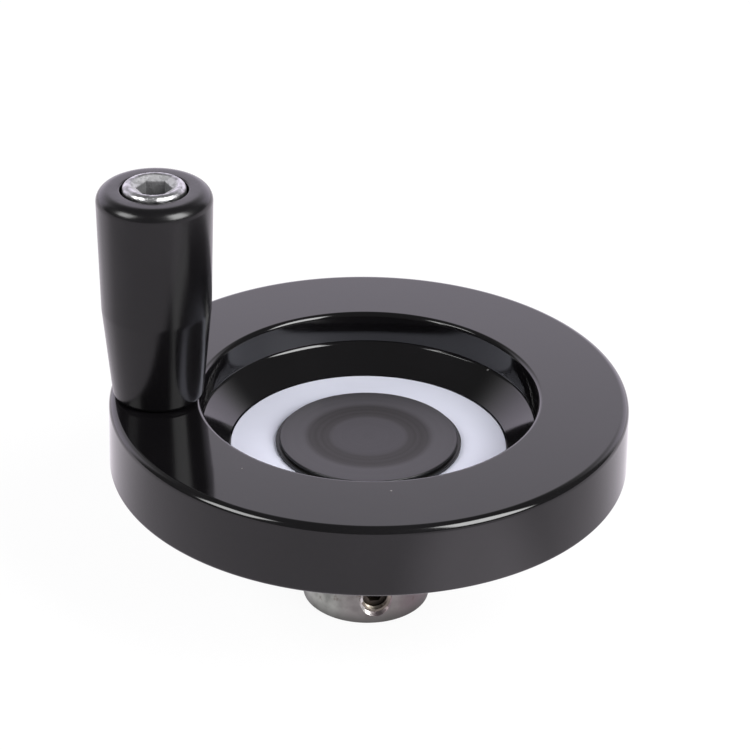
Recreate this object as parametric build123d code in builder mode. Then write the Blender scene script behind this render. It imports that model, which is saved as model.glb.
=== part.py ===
from build123d import *
from math import cos, radians, sin, tan
import os

# Machine handwheel with a revolving handle.
#
# Millimetres. The origin is the centre of the hub's lower face, +Z runs up the
# shaft axis towards the handle, and the handle stands on the -X side.

# --- Driving dimensions -------------------------------------------------------

# Rim and dish of the moulded wheel
wheel_diameter = 100.0  # at the top of the outer wall
rim_top = 45.0  # height of the rim's front face above the hub's lower face
rim_height = 14.25
rim_width = 17.4  # from the outer wall to the lip of the dish
rim_draft = 0.2  # how much the outer wall widens towards its foot
rim_front_rounding = 1.45
rim_foot_rounding = 0.8
lip_rounding = 0.9
dish_wall_depth = 6.5
dish_wall_lean = 0.55
crease_rounding = 1.6
cone_drop = 4.52  # height of the sloping floor, from the crease to the ring's recess

# Rear of the wheel
web_thickness = 5.7
web_flat_diameter = 58.0
rim_foot_width = 14.5
rim_foot_inner_rounding = 2.0
web_rounding = 4.0
boss_root_diameter = 38.4
boss_end_diameter = 35.6
boss_root_rounding = 3.0
boss_end_rounding = 1.2
hub_exposed_length = 14.0  # steel that stands out of the boss

# Dial ring
ring_diameter = 53.6
ring_bore = 30.0
ring_thickness = 1.0
ring_edge_rounding = 0.15
ring_gap = 0.25  # all round the ring, in its recess
ring_sink = 0.16  # the ring's face below the edge of its recess

# Pocket and cap over the end of the shaft
pocket_diameter = 27.8
pocket_depth = 6.1
cap_flange_diameter = 36.0
cap_flange_thickness = 0.75
cap_top_diameter = 34.7
cap_top_thickness = 0.77
cap_edge_rounding = 0.3
cap_spigot_wall = 1.6
cap_spigot_end_gap = 1.5
cap_press_clearance = 0.03
cap_slit_width = 1.6
cap_slit_count = 4
cap_track_outer_diameter = 24.2
cap_track_inner_diameter = 14.7
cap_track_depth = 0.12

# Steel hub
hub_diameter = 25.0
shaft_bore = 10.0
hub_chamfer = 0.6
hub_foot_chamfer = 0.2  # round the outside of the lower face
hub_key_groove_depth = 1.0  # groove that locks the hub lengthways in the moulding
hub_key_groove_width = 3.5
hub_key_groove_height = 18.5
hub_flat_depth = 1.0  # two flats that stop the hub turning in the moulding
hub_flat_start = 16.0

# Set screw and its cross hole
screw_thread_diameter = 6.0
screw_length = 5.0
screw_height = 5.3
screw_bore_gap = 0.2  # between the screw's point and the shaft bore
screw_turn = 7.5  # degrees from -Y, towards +X
screw_socket = 3.0
screw_socket_depth = 2.4
screw_chamfer = 0.6
screw_cup_diameter = 3.0
screw_cup_floor_diameter = 1.2
screw_countersink_diameter = 7.3
bevel_angle = 45.0  # of the countersink and of the screw's cup
thread_clearance = 0.03

# Handle's place on the rim
handle_inset = 0.75  # inside the middle of the rim's front face

# Brass bush in the rim
bush_diameter = 13.0
bush_length = 11.0
bush_groove_depth = 0.8
bush_groove_width = 3.0

# Handle pin
pin_thread_diameter = 8.0
pin_thread_length = 10.0
pin_tip_chamfer = 0.8
pin_shank_diameter = 9.0
pin_head_diameter = 12.0
pin_head_proud = 0.9  # above the end of the grip
pin_head_rounding = 0.8
pin_head_play = 0.3
pin_socket = 6.1
pin_socket_depth = 5.0
pin_socket_turn = -2.0  # degrees, from +X to a corner of the socket
pin_funnel_diameter = 9.7
pin_funnel_floor_diameter = 6.6
pin_funnel_depth = 0.8
pin_funnel_rounding = 1.0

# Revolving grip
grip_length = 43.3
grip_foot_diameter = 17.3
grip_foot_rounding = 1.2
grip_waist_diameter = 20.9
grip_waist_height = 18.65
grip_waist_rounding = 10.0
grip_top_diameter = 22.0
grip_top_rounding = 2.45
grip_mouth_diameter = 12.8
grip_mouth_depth = 5.2
grip_mouth_rounding = 0.4
grip_running_clearance = 0.07
grip_bore_chamfer = 0.5

# --- Places worked out from them ----------------------------------------------

wheel_radius = wheel_diameter / 2
lip_radius = wheel_radius - rim_width
crease_radius = lip_radius - dish_wall_lean
crease_height = rim_top - dish_wall_depth
recess_edge_height = crease_height - cone_drop
ring_face = recess_edge_height - ring_sink
ring_seat = ring_face - ring_thickness
recess_radius = ring_diameter / 2 + ring_gap
hub_length = ring_seat - pocket_depth
rim_foot = rim_top - rim_height
web_rear = ring_seat - web_thickness

handle_x = rim_width / 2 + handle_inset - wheel_radius
grip_end = rim_top + grip_length
grip_mouth_floor = grip_end - grip_mouth_depth
pin_head_seat = grip_mouth_floor + pin_head_play
pin_top = grip_end + pin_head_proud

handle_axis = Axis((handle_x, 0, 0), (0, 0, 1))
handle_plane = Plane(origin=(handle_x, 0, 0), x_dir=(1, 0, 0), z_dir=(0, -1, 0))

screw_axis_direction = Vector(sin(radians(screw_turn)), -cos(radians(screw_turn)), 0)
screw_plane = Plane(
    origin=(0, 0, screw_height), x_dir=(0, 0, 1), z_dir=screw_axis_direction
)
screw_outer_end = shaft_bore / 2 + screw_bore_gap + screw_length
bevel_slope = tan(radians(bevel_angle))
countersink_depth = (screw_countersink_diameter - screw_thread_diameter) / 2 / bevel_slope
screw_cup_depth = (screw_cup_diameter - screw_cup_floor_diameter) / 2 / bevel_slope


def half_section(*corners):
    """Draws a closed outline in the current BuildLine.

    Each corner is (distance from the axis, height), or the same with the
    radius that rounds it.
    """
    points = [corner[:2] for corner in corners]
    radii = [corner[2] if len(corner) == 3 else 0 for corner in corners]
    FilletPolyline(*points, radius=radii, close=True)


# --- Steel hub ----------------------------------------------------------------

with BuildPart() as hub_insert:
    groove_radius = hub_diameter / 2 - hub_key_groove_depth
    groove_top = hub_key_groove_height + hub_key_groove_width
    with BuildSketch(Plane.XZ):
        with BuildLine():
            half_section(
                (shaft_bore / 2, 0),
                (hub_diameter / 2, 0),
                (hub_diameter / 2, hub_key_groove_height),
                (groove_radius, hub_key_groove_height),
                (groove_radius, groove_top),
                (hub_diameter / 2, groove_top),
                (hub_diameter / 2, hub_length),
                (shaft_bore / 2, hub_length),
            )
        make_face()
    revolve(axis=Axis.Z)
    end_faces = hub_insert.faces().filter_by(Axis.Z).sort_by(Axis.Z)
    bore_edge = end_faces[0].edges().sort_by(SortBy.RADIUS)[0]
    chamfer([bore_edge, *end_faces[-1].edges()], hub_chamfer)
    foot_face = hub_insert.faces().filter_by(Axis.Z).sort_by(Axis.Z)[0]
    chamfer(foot_face.edges().sort_by(SortBy.RADIUS)[-1], hub_foot_chamfer)
    # Two flats, inside the moulding only
    flat_length = hub_length - hub_flat_start
    with BuildSketch(Plane.XY.offset(hub_flat_start)):
        Rectangle(2 * hub_diameter, 2 * hub_diameter)
        Rectangle(hub_diameter - 2 * hub_flat_depth, 2 * hub_diameter, mode=Mode.SUBTRACT)
    extrude(amount=flat_length, mode=Mode.SUBTRACT)
    # Cross hole for the set screw, from the bore out, and its countersink
    with BuildSketch(screw_plane):
        Circle(screw_thread_diameter / 2)
    extrude(amount=hub_diameter, mode=Mode.SUBTRACT)
    with BuildSketch(screw_plane.offset(hub_diameter / 2 - countersink_depth)):
        Circle(screw_thread_diameter / 2)
    extrude(amount=2 * countersink_depth, taper=-bevel_angle, mode=Mode.SUBTRACT)
hub_insert.part.label = "hub_insert"

# --- Brass bush in the rim ----------------------------------------------------

with BuildPart() as handle_bush:
    bush_foot = rim_top - bush_length
    bush_thread_radius = pin_thread_diameter / 2 + thread_clearance
    groove_radius = bush_diameter / 2 - bush_groove_depth
    groove_foot = rim_top - (bush_length + bush_groove_width) / 2
    with BuildSketch(handle_plane):
        with BuildLine():
            half_section(
                (bush_thread_radius, bush_foot),
                (bush_diameter / 2, bush_foot),
                (bush_diameter / 2, groove_foot),
                (groove_radius, groove_foot),
                (groove_radius, groove_foot + bush_groove_width),
                (bush_diameter / 2, groove_foot + bush_groove_width),
                (bush_diameter / 2, rim_top),
                (bush_thread_radius, rim_top),
            )
        make_face()
    revolve(axis=handle_axis)
handle_bush.part.label = "handle_bush"

# --- Moulded wheel --------------------------------------------------------------

with BuildPart() as wheel_body:
    with BuildSketch(Plane.XZ):
        with BuildLine():
            half_section(
                (0, hub_length),
                (pocket_diameter / 2, hub_length),
                (pocket_diameter / 2, ring_seat),
                (recess_radius, ring_seat),
                (recess_radius, recess_edge_height),
                (crease_radius, crease_height, crease_rounding),
                (lip_radius, rim_top, lip_rounding),
                (wheel_radius, rim_top, rim_front_rounding),
                (wheel_radius + rim_draft, rim_foot, rim_foot_rounding),
                (wheel_radius - rim_foot_width, rim_foot, rim_foot_inner_rounding),
                (web_flat_diameter / 2, web_rear, web_rounding),
                (boss_root_diameter / 2, web_rear, boss_root_rounding),
                (boss_end_diameter / 2, hub_exposed_length, boss_end_rounding),
                (0, hub_exposed_length),
            )
        make_face()
    revolve(axis=Axis.Z)
    # The metal parts that it is moulded round, and the shaft's way through
    with BuildSketch(Plane.XY.offset(hub_exposed_length)):
        Circle(shaft_bore / 2)
    extrude(amount=hub_length - hub_exposed_length, mode=Mode.SUBTRACT)
    add(hub_insert.part, mode=Mode.SUBTRACT)
    with BuildSketch(Plane.XY.offset(hub_length - hub_chamfer)):
        Circle(shaft_bore / 2 + hub_chamfer)
    extrude(amount=hub_chamfer, mode=Mode.SUBTRACT)
    with BuildSketch(Plane.XY.offset(bush_foot)):
        with Locations((handle_x, 0)):
            Circle(bush_thread_radius)
    extrude(amount=bush_length, mode=Mode.SUBTRACT)
    add(handle_bush.part, mode=Mode.SUBTRACT)
wheel_body.part.label = "wheel_body"

# --- Dial ring ------------------------------------------------------------------

with BuildPart() as dial_ring:
    with BuildSketch(Plane.XY.offset(ring_seat)):
        Circle(ring_diameter / 2)
        Circle(ring_bore / 2, mode=Mode.SUBTRACT)
    extrude(amount=ring_thickness)
    face_edges = dial_ring.edges().group_by(Axis.Z)[-1]
    fillet(face_edges.sort_by(SortBy.RADIUS)[-1], ring_edge_rounding)
dial_ring.part.label = "dial_ring"

# --- Centre cap -----------------------------------------------------------------

with BuildPart() as centre_cap:
    spigot_radius = pocket_diameter / 2 - cap_press_clearance
    spigot_foot = hub_length + cap_spigot_end_gap
    flange_top = ring_face + cap_flange_thickness
    cap_face = flange_top + cap_top_thickness
    with BuildSketch(Plane.XZ):
        with BuildLine():
            half_section(
                (0, ring_face),
                (spigot_radius - cap_spigot_wall, ring_face),
                (spigot_radius - cap_spigot_wall, spigot_foot),
                (spigot_radius, spigot_foot),
                (spigot_radius, ring_face),
                (cap_flange_diameter / 2, ring_face),
                (cap_flange_diameter / 2, flange_top),
                (cap_top_diameter / 2, flange_top),
                (cap_top_diameter / 2, cap_face, cap_edge_rounding),
                (0, cap_face),
            )
        make_face()
    revolve(axis=Axis.Z)
    # Slits that let the spigot spring into its pocket
    slit_length = ring_face - spigot_foot
    with BuildSketch(Plane.XY.offset(spigot_foot)):
        with PolarLocations(spigot_radius - cap_spigot_wall / 2, cap_slit_count):
            Rectangle(2 * cap_spigot_wall, cap_slit_width)
    extrude(amount=slit_length, mode=Mode.SUBTRACT)
    # Shallow track in the face
    with BuildSketch(Plane.XY.offset(cap_face)):
        Circle(cap_track_outer_diameter / 2)
        Circle(cap_track_inner_diameter / 2, mode=Mode.SUBTRACT)
    extrude(amount=-cap_track_depth, mode=Mode.SUBTRACT)
centre_cap.part.label = "centre_cap"

# --- Set screw ------------------------------------------------------------------

with BuildPart() as set_screw:
    screw_radius = screw_thread_diameter / 2 - thread_clearance
    with BuildSketch(screw_plane.offset(screw_outer_end)):
        Circle(screw_radius)
    extrude(amount=-screw_length)
    ends = set_screw.faces().filter_by(GeomType.PLANE)
    point_edge = ends.sort_by(Axis(screw_plane.origin, screw_axis_direction))[0].edges()
    chamfer(point_edge, screw_chamfer)
    # Cup in the point, and the socket
    with BuildSketch(screw_plane.offset(screw_outer_end - screw_length)):
        Circle(screw_cup_diameter / 2)
    extrude(amount=screw_cup_depth, taper=bevel_angle, mode=Mode.SUBTRACT)
    with BuildSketch(screw_plane.offset(screw_outer_end)):
        RegularPolygon(screw_socket / 2, 6, major_radius=False)
    extrude(amount=-screw_socket_depth, mode=Mode.SUBTRACT)
set_screw.part.label = "set_screw"

# --- Handle pin -----------------------------------------------------------------

with BuildPart() as handle_pin:
    pin_foot = rim_top - pin_thread_length
    funnel_floor = pin_top - pin_funnel_depth
    with BuildSketch(handle_plane):
        with BuildLine():
            half_section(
                (0, pin_foot),
                (pin_thread_diameter / 2 - pin_tip_chamfer, pin_foot),
                (pin_thread_diameter / 2, pin_foot + pin_tip_chamfer),
                (pin_thread_diameter / 2, rim_top),
                (pin_shank_diameter / 2, rim_top),
                (pin_shank_diameter / 2, pin_head_seat),
                (pin_head_diameter / 2, pin_head_seat),
                (pin_head_diameter / 2, pin_top, pin_head_rounding),
                (pin_funnel_diameter / 2, pin_top, pin_funnel_rounding),
                (pin_funnel_floor_diameter / 2, funnel_floor),
                (0, funnel_floor),
            )
        make_face()
    revolve(axis=handle_axis)
    with BuildSketch(Plane.XY.offset(pin_top)):
        with Locations((handle_x, 0)):
            RegularPolygon(
                pin_socket / 2, 6, major_radius=False, rotation=pin_socket_turn
            )
    extrude(amount=-pin_socket_depth, mode=Mode.SUBTRACT)
handle_pin.part.label = "handle_pin"

# --- Revolving grip ---------------------------------------------------------------

with BuildPart() as handle_grip:
    grip_bore_radius = pin_shank_diameter / 2 + grip_running_clearance
    with BuildSketch(handle_plane):
        with BuildLine():
            half_section(
                (grip_bore_radius + grip_bore_chamfer, rim_top),
                (grip_foot_diameter / 2, rim_top, grip_foot_rounding),
                (grip_waist_diameter / 2, rim_top + grip_waist_height, grip_waist_rounding),
                (grip_top_diameter / 2, grip_end, grip_top_rounding),
                (grip_mouth_diameter / 2, grip_end, grip_mouth_rounding),
                (grip_mouth_diameter / 2, grip_mouth_floor),
                (grip_bore_radius, grip_mouth_floor),
                (grip_bore_radius, rim_top + grip_bore_chamfer),
            )
        make_face()
    revolve(axis=handle_axis)
handle_grip.part.label = "handle_grip"

# --- Export -----------------------------------------------------------------------

os.makedirs("parts", exist_ok=True)
for piece in (
    wheel_body,
    hub_insert,
    set_screw,
    dial_ring,
    centre_cap,
    handle_bush,
    handle_pin,
    handle_grip,
):
    export_step(piece.part, f"parts/{piece.part.label}.step")
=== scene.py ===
"""Dresses the machine handwheel for a studio picture.

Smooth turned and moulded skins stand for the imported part's solids, each with
its own finish, and a plain floor, soft lamps and the camera are set round them.

Sizes in the classes below are millimetres, and MM turns them into the metres
of the meshes. Only the floor's and the lamps' are metres, as they say there.
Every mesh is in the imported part's frame: the origin is the centre of the hub's
lower face, and +Z runs up the shaft axis to the handle.
"""

import logging
import math
from collections.abc import Callable
from dataclasses import dataclass
from enum import Enum

import bmesh
import bpy
from mathutils import Matrix, Vector


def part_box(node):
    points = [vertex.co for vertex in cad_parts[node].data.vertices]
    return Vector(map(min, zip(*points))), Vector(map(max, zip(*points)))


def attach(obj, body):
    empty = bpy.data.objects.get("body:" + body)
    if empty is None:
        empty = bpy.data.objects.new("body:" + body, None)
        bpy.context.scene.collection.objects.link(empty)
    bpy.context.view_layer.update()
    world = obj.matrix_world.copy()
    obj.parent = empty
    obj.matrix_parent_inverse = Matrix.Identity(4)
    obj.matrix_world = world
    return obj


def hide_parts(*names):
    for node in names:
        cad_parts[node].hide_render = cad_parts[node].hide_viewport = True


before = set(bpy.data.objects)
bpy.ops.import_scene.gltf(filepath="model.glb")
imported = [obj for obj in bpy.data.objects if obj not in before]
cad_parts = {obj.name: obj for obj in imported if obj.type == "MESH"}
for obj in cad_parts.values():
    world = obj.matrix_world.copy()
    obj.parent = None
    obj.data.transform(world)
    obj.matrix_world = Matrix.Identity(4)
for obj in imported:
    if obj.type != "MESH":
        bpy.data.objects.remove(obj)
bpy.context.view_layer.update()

MM = 0.001
WELD = 1e-6  # metres; points nearer than this are one point
FLAT = (1, 1, 0)  # times a vector, leaves its level part
WHITE = (1, 1, 1)

Colour = tuple[float, float, float]
Place = tuple[float, float, float]
Piece = bpy.types.Object
Material = bpy.types.Material
Socket = bpy.types.NodeSocket
Inputs = dict[str | int, object]  # what feeds a node's inputs, by their names or numbers

log = logging.getLogger("handwheel")


class Body(Enum):
    """The bodies that pieces ride on."""

    WHEEL = "wheel"
    GRIP = "grip"


class Slot(Enum):
    """The record's material slots, by name."""

    PHENOLIC = "phenolic"
    GRIP = "grip_phenolic"
    CAP = "cap_plastic"
    RING = "ring_metal"
    HUB = "hub_steel"
    PLATED = "plated_steel"
    DARK = "dark_steel"


class Axis(Enum):
    """The frame's axes, as directions."""

    X = (1.0, 0.0, 0.0)
    Y = (0.0, 1.0, 0.0)
    Z = (0.0, 0.0, 1.0)


class Keep(Enum):
    """What a cut leaves of a piece, by Blender's names."""

    OUTSIDE = "DIFFERENCE"
    INSIDE = "INTERSECT"


# --- Modelling ------------------------------------------------------------------


@dataclass(frozen=True)
class Corner:
    """One corner of a half section, in millimetres.

    Attributes:
        out: Distance from the axis.
        up: Height above the hub's lower face.
        rounding: Radius that rounds the corner.
    """

    out: float
    up: float
    rounding: float = 0.0

    def point(self, axis_x: float) -> Vector:
        """Gives the corner's place in metres, beside an axis at axis_x millimetres."""
        return Vector((axis_x + self.out, 0.0, self.up)) * MM


@dataclass(frozen=True)
class Extent:
    """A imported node's box, in millimetres.

    Attributes:
        low: Its lowest corner.
        high: Its highest corner.
    """

    low: Vector
    high: Vector

    @classmethod
    def of(cls, node: str) -> "Extent":
        """Reads the box of a node by its name."""
        low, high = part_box(node)
        return cls(low / MM, high / MM)

    @property
    def axis_x(self) -> float:
        """Where the middle of a turned node stands along X."""
        return (self.low.x + self.high.x) / 2

    @property
    def radius(self) -> float:
        """A turned node's largest radius."""
        return (self.high.y - self.low.y) / 2


def select_only(piece: Piece) -> None:
    """Selects one piece and makes it the active one.

    Args:
        piece: The piece.
    """
    bpy.ops.object.select_all(action="DESELECT")
    piece.select_set(True)
    bpy.context.view_layer.objects.active = piece


def primitive(name: str, add: Callable[..., object], **sizes: object) -> Piece:
    """Adds a primitive, with its place moved into its mesh.

    Args:
        name: The new piece's name.
        add: Blender's operator that adds it.
        sizes: The operator's values.

    Returns:
        The piece.
    """
    bpy.ops.object.select_all(action="DESELECT")
    add(**sizes)
    piece = bpy.context.object
    piece.name = piece.data.name = name
    select_only(piece)
    bpy.ops.object.transform_apply(location=True, rotation=True, scale=True)
    return piece


def trace(name: str, start: Vector, steps: list[Vector]) -> Piece:
    """Draws a chain of edges and leaves it open in edit mode.

    Args:
        name: The new piece's name.
        start: Its first point, in metres.
        steps: The way from each point to the next.

    Returns:
        The chain.
    """
    piece = primitive(name, bpy.ops.mesh.primitive_plane_add, size=MM, location=start)
    bpy.ops.object.mode_set(mode="EDIT")
    bpy.ops.mesh.select_mode(type="VERT")
    bpy.ops.mesh.select_all(action="SELECT")
    bpy.ops.mesh.merge(type="CENTER")
    for step in steps:
        bpy.ops.mesh.extrude_vertices_move(TRANSFORM_OT_translate={"value": step})
    return piece


def pick(piece: Piece, wanted: Callable[[Vector], bool]) -> None:
    """Selects a piece's vertices by their place, in edit mode.

    Args:
        piece: The piece that is open in edit mode.
        wanted: Says whether the vertex at a place is selected.
    """
    points = bmesh.from_edit_mesh(piece.data)
    for vertex in points.verts:
        vertex.select_set(wanted(vertex.co))
    points.select_flush_mode()
    bmesh.update_edit_mesh(piece.data)


def seal(ends: bool = False) -> None:
    """Welds the skin that is open in edit mode, turns its faces outwards and leaves that mode.

    Args:
        ends: Whether open ends are filled.
    """
    bpy.ops.mesh.select_all(action="SELECT")
    bpy.ops.mesh.remove_doubles(threshold=WELD)
    if ends:
        bpy.ops.mesh.fill_holes(sides=0)
        bpy.ops.mesh.select_all(action="SELECT")
    bpy.ops.mesh.normals_make_consistent(inside=False)
    bpy.ops.object.mode_set(mode="OBJECT")


def apply_modifier(piece: Piece, kind: str, **settings: object) -> None:
    """Adds a modifier to a piece and applies it.

    Args:
        piece: The piece that is changed.
        kind: Blender's name for the modifier's type.
        settings: Values of the modifier.
    """
    select_only(piece)
    modifier = piece.modifiers.new(kind.title(), kind)
    for setting, value in settings.items():
        setattr(modifier, setting, value)
    bpy.ops.object.modifier_apply(modifier=modifier.name)


def cut(piece: Piece, *cutters: Piece, keep: Keep = Keep.OUTSIDE) -> None:
    """Cuts a piece with others, which are used up.

    Args:
        piece: The piece that is cut.
        cutters: Closed shapes that cut it.
        keep: Whether what is outside the cutters stays, or what is inside.
    """
    for cutter in cutters:
        apply_modifier(piece, "BOOLEAN", operation=keep.value, object=cutter, solver="EXACT")
        bpy.data.objects.remove(cutter)


def smooth(piece: Piece, sharpest: float = 35.0) -> None:
    """Shades a piece smooth, and keeps its sharp edges crisp.

    Args:
        piece: The piece.
        sharpest: The angle in degrees from which an edge is sharp.
    """
    select_only(piece)
    bpy.ops.object.shade_smooth_by_angle(angle=math.radians(sharpest))
    apply_modifier(piece, "WEIGHTED_NORMAL", keep_sharp=True, weight=100)


def swing(piece: Piece, angle: float, axis: Axis) -> None:
    """Turns a piece's mesh about an axis through the origin, by degrees and the right-hand rule."""
    piece.data.transform(Matrix.Rotation(math.radians(angle), 4, Vector(axis.value)))


def shift(piece: Piece, x: float = 0, y: float = 0, z: float = 0) -> None:
    """Moves a piece's mesh by a distance along each axis, in millimetres."""
    piece.data.transform(Matrix.Translation(Vector((x, y, z)) * MM))


def block(name: str, size: Place, centre: Place) -> Piece:
    """Makes a box from its length, depth and height and its middle, in millimetres."""
    middle = Vector(centre) * MM
    return primitive(name, bpy.ops.mesh.primitive_cube_add, size=MM, location=middle, scale=size)


def hexagon(name: str, across_flats: float, length: float) -> Piece:
    """Makes a hexagonal bar that stands on the origin, with one corner towards +X.

    Args:
        name: The new piece's name.
        across_flats: The distance between two opposite sides, in millimetres.
        length: Its height, in millimetres.

    Returns:
        The bar.
    """
    return primitive(
        name,
        bpy.ops.mesh.primitive_cylinder_add,
        vertices=6,
        radius=across_flats / 2 / math.cos(math.pi / 6) * MM,
        depth=length * MM,
        location=(0, 0, length / 2 * MM),
        rotation=(0, 0, math.pi / 2),
    )


@dataclass
class Lathe:
    """Turns half sections into closed skins, by spinning them about an upright axis.

    Attributes:
        axis_x: Where the axis stands along X, in millimetres.
        steps: Facets in a full turn.
        facet: Degrees of a rounding that one facet may take.
        fewest_facets: The fewest facets of a rounding.
    """

    axis_x: float = 0.0
    steps: int = 288
    facet: float = 9.0
    fewest_facets: int = 4

    def turn(self, name: str, *outline: Corner) -> Piece:
        """Draws an outline corner by corner, rounds it and spins it.

        Args:
            name: The new piece's name.
            outline: The corners in order. The last joins the first, except along
                the axis itself.

        Returns:
            The turned piece.
        """
        places = [corner.point(self.axis_x) for corner in outline]
        steps = [there - here for here, there in zip(places, places[1:])]
        piece = trace(name, places[0], steps)
        bpy.ops.mesh.select_all(action="SELECT")
        bpy.ops.mesh.edge_face_add()
        for number, corner in enumerate(outline):
            if corner.rounding:
                after = places[(number + 1) % len(places)]
                self._round(piece, corner.rounding, places[number - 1], places[number], after)
        bpy.ops.mesh.select_all(action="SELECT")
        bpy.ops.mesh.delete(type="ONLY_FACE")
        pick(piece, lambda point: abs(point.x - self.axis_x * MM) < WELD)
        bpy.ops.mesh.delete(type="EDGE_FACE")
        bpy.ops.mesh.select_all(action="SELECT")
        centre = (self.axis_x * MM, 0, 0)
        bpy.ops.mesh.spin(steps=self.steps, angle=math.tau, center=centre, axis=Axis.Z.value)
        seal()
        return piece

    def _round(self, piece: Piece, radius: float, before: Vector, here: Vector, after: Vector) -> None:
        """Rounds one corner of the outline that is open in edit mode.

        Args:
            piece: The outline.
            radius: The rounding's radius, in millimetres.
            before: The corner before it.
            here: The corner.
            after: The corner after it.
        """
        turn = (here - before).angle(after - here)
        pick(piece, lambda point: (point - here).length < WELD)
        bpy.ops.mesh.bevel(
            offset_type="OFFSET",
            offset=radius * MM * math.tan(turn / 2),
            segments=max(self.fewest_facets, math.ceil(math.degrees(turn) / self.facet)),
            profile=0.5,
            affect="VERTICES",
            clamp_overlap=False,
        )


@dataclass(frozen=True)
class Thread:
    """A screw thread of triangular form, in millimetres.

    Attributes:
        major: Diameter over the crests.
        pitch: Advance in one turn.
        crest: Width of the flat on each crest.
        depth: Height of the thread's form, as a share of the pitch.
        steps: Facets in a full turn.
        turns: Turns of a rod.
    """

    major: float
    pitch: float
    crest: float = 0.14
    depth: float = 0.54
    steps: int = 48
    turns: int = 15

    def rod(self, name: str) -> Piece:
        """Makes a closed threaded rod up the Z axis, with its foot one pitch under the origin.

        Args:
            name: The new piece's name.

        Returns:
            The rod.
        """
        rise = self.depth * self.pitch
        flank = (self.pitch - 2 * self.crest) / 2
        form = ((rise, flank), (0, self.crest), (-rise, flank), (0, self.crest))
        start = Vector((self.major / 2 - rise, 0, -self.pitch)) * MM
        piece = trace(name, start, [Vector((out, 0, up)) * MM for out, up in form])
        bpy.ops.object.mode_set(mode="OBJECT")
        apply_modifier(
            piece,
            "SCREW",
            axis="Z",
            angle=math.tau,
            screw_offset=self.pitch * MM,
            iterations=self.turns,
            steps=self.steps,
            render_steps=self.steps,
            use_merge_vertices=False,
        )
        bpy.ops.object.mode_set(mode="EDIT")
        seal(ends=True)
        return piece


# --- Finishes -------------------------------------------------------------------


def shade(colour: Colour, share: float) -> Colour:
    """Gives a colour darkened or brightened to a share of itself."""
    return tuple(share * part for part in colour)


class Graph:
    """A node tree under construction."""

    def __init__(self, tree: bpy.types.NodeTree) -> None:
        """Wraps a tree that is empty or about to be filled."""
        self.tree = tree

    def feed(self, term: object, socket: Socket) -> None:
        """Feeds an input.

        Args:
            term: An output, a number, a vector or a colour of three parts.
            socket: The input.
        """
        if isinstance(term, Socket):
            self.tree.links.new(term, socket)
        else:
            socket.default_value = (*term, 1) if socket.type == "RGBA" else term

    def node(self, kind: str, inputs: Inputs | None = None, **settings: object) -> bpy.types.Node:
        """Adds a node.

        Args:
            kind: Blender's name for the node's type, without ShaderNode.
            inputs: What feeds its inputs, by their names or numbers.
            settings: Properties of the node.

        Returns:
            The node.
        """
        made = self.tree.nodes.new("ShaderNode" + kind)
        for setting, value in settings.items():
            setattr(made, setting, value)
        for socket, term in (inputs or {}).items():
            self.feed(term, made.inputs[socket])
        return made

    def math(self, operation: str, *terms: object) -> Socket:
        """Adds a Math node of an operation on its terms, and gives its output."""
        return self.node("Math", dict(enumerate(terms)), operation=operation).outputs[0]

    def vector(self, operation: str, *terms: object) -> Socket:
        """Adds a Vector Math node of an operation on its terms, and gives its vector."""
        return self.node("VectorMath", dict(enumerate(terms)), operation=operation).outputs[0]

    def coordinate(self, axis: Axis, place: Socket) -> Socket:
        """Gives one coordinate of a place."""
        return self.node("SeparateXYZ", {0: place}).outputs[axis.name]

    def ramp(self, value: object, start: object, end: object, low: object, high: object) -> Socket:
        """Maps a value smoothly from one range to another.

        Args:
            value: The output that is mapped.
            start: The value that gives low.
            end: The value that gives high.
            low: The result at the start.
            high: The result at the end.

        Returns:
            The mapped output.
        """
        terms = dict(enumerate((value, start, end, low, high)))
        return self.node("MapRange", terms, interpolation_type="SMOOTHSTEP").outputs[0]

    def total(self, base: object, *parts: tuple[object, float]) -> Socket:
        """Adds shares of outputs to a number.

        Args:
            base: The number, or an output.
            parts: Each an output and its share.

        Returns:
            The sum.
        """
        for term, share in parts:
            base = self.math("MULTIPLY_ADD", term, share, base)
        return base

    def layers(self, base: object, *coats: tuple[object, object]) -> Socket:
        """Lays colours over one another.

        Args:
            base: The lowest colour.
            coats: How much of each further colour shows, and the colour.

        Returns:
            The mixed colour.
        """
        for share, colour in coats:
            mix = self.node("Mix", data_type="RGBA")
            for number, term in ((0, share), (6, base), (7, colour)):
                self.feed(term, mix.inputs[number])
            base = mix.outputs[2]
        return base


class Effect(Enum):
    """Shading effects that several finishes share."""

    RADIUS = "axis_distance"
    MOTTLE = "mottle"
    DUST = "dust_specks"
    HAIRLINES = "hairline_scratches"
    TOOL_LINES = "tool_lines"


class EffectGroup(Graph):
    """A shared effect's node group under construction."""

    def __init__(self, effect: Effect, output: str, **inputs: float) -> None:
        """Starts the group.

        Args:
            effect: Which effect it is.
            output: The name of its output value.
            inputs: Its number inputs by name, with their defaults.
        """
        super().__init__(bpy.data.node_groups.new(effect.value, "ShaderNodeTree"))
        sockets = self.tree.interface
        sockets.new_socket("Vector", in_out="INPUT", socket_type="NodeSocketVector")
        for name, value in inputs.items():
            socket = sockets.new_socket(name, in_out="INPUT", socket_type="NodeSocketFloat")
            socket.default_value = value
        sockets.new_socket(output, in_out="OUTPUT", socket_type="NodeSocketFloat")
        self.given = self.tree.nodes.new("NodeGroupInput").outputs
        self.result = self.tree.nodes.new("NodeGroupOutput").inputs[output]

    def scaled(self, **inputs: object) -> Inputs:
        """Gives a texture's inputs, with the group's own Vector and Scale unless others are given."""
        return {"Vector": self.given["Vector"], "Scale": self.given["Scale"], **inputs}


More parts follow.
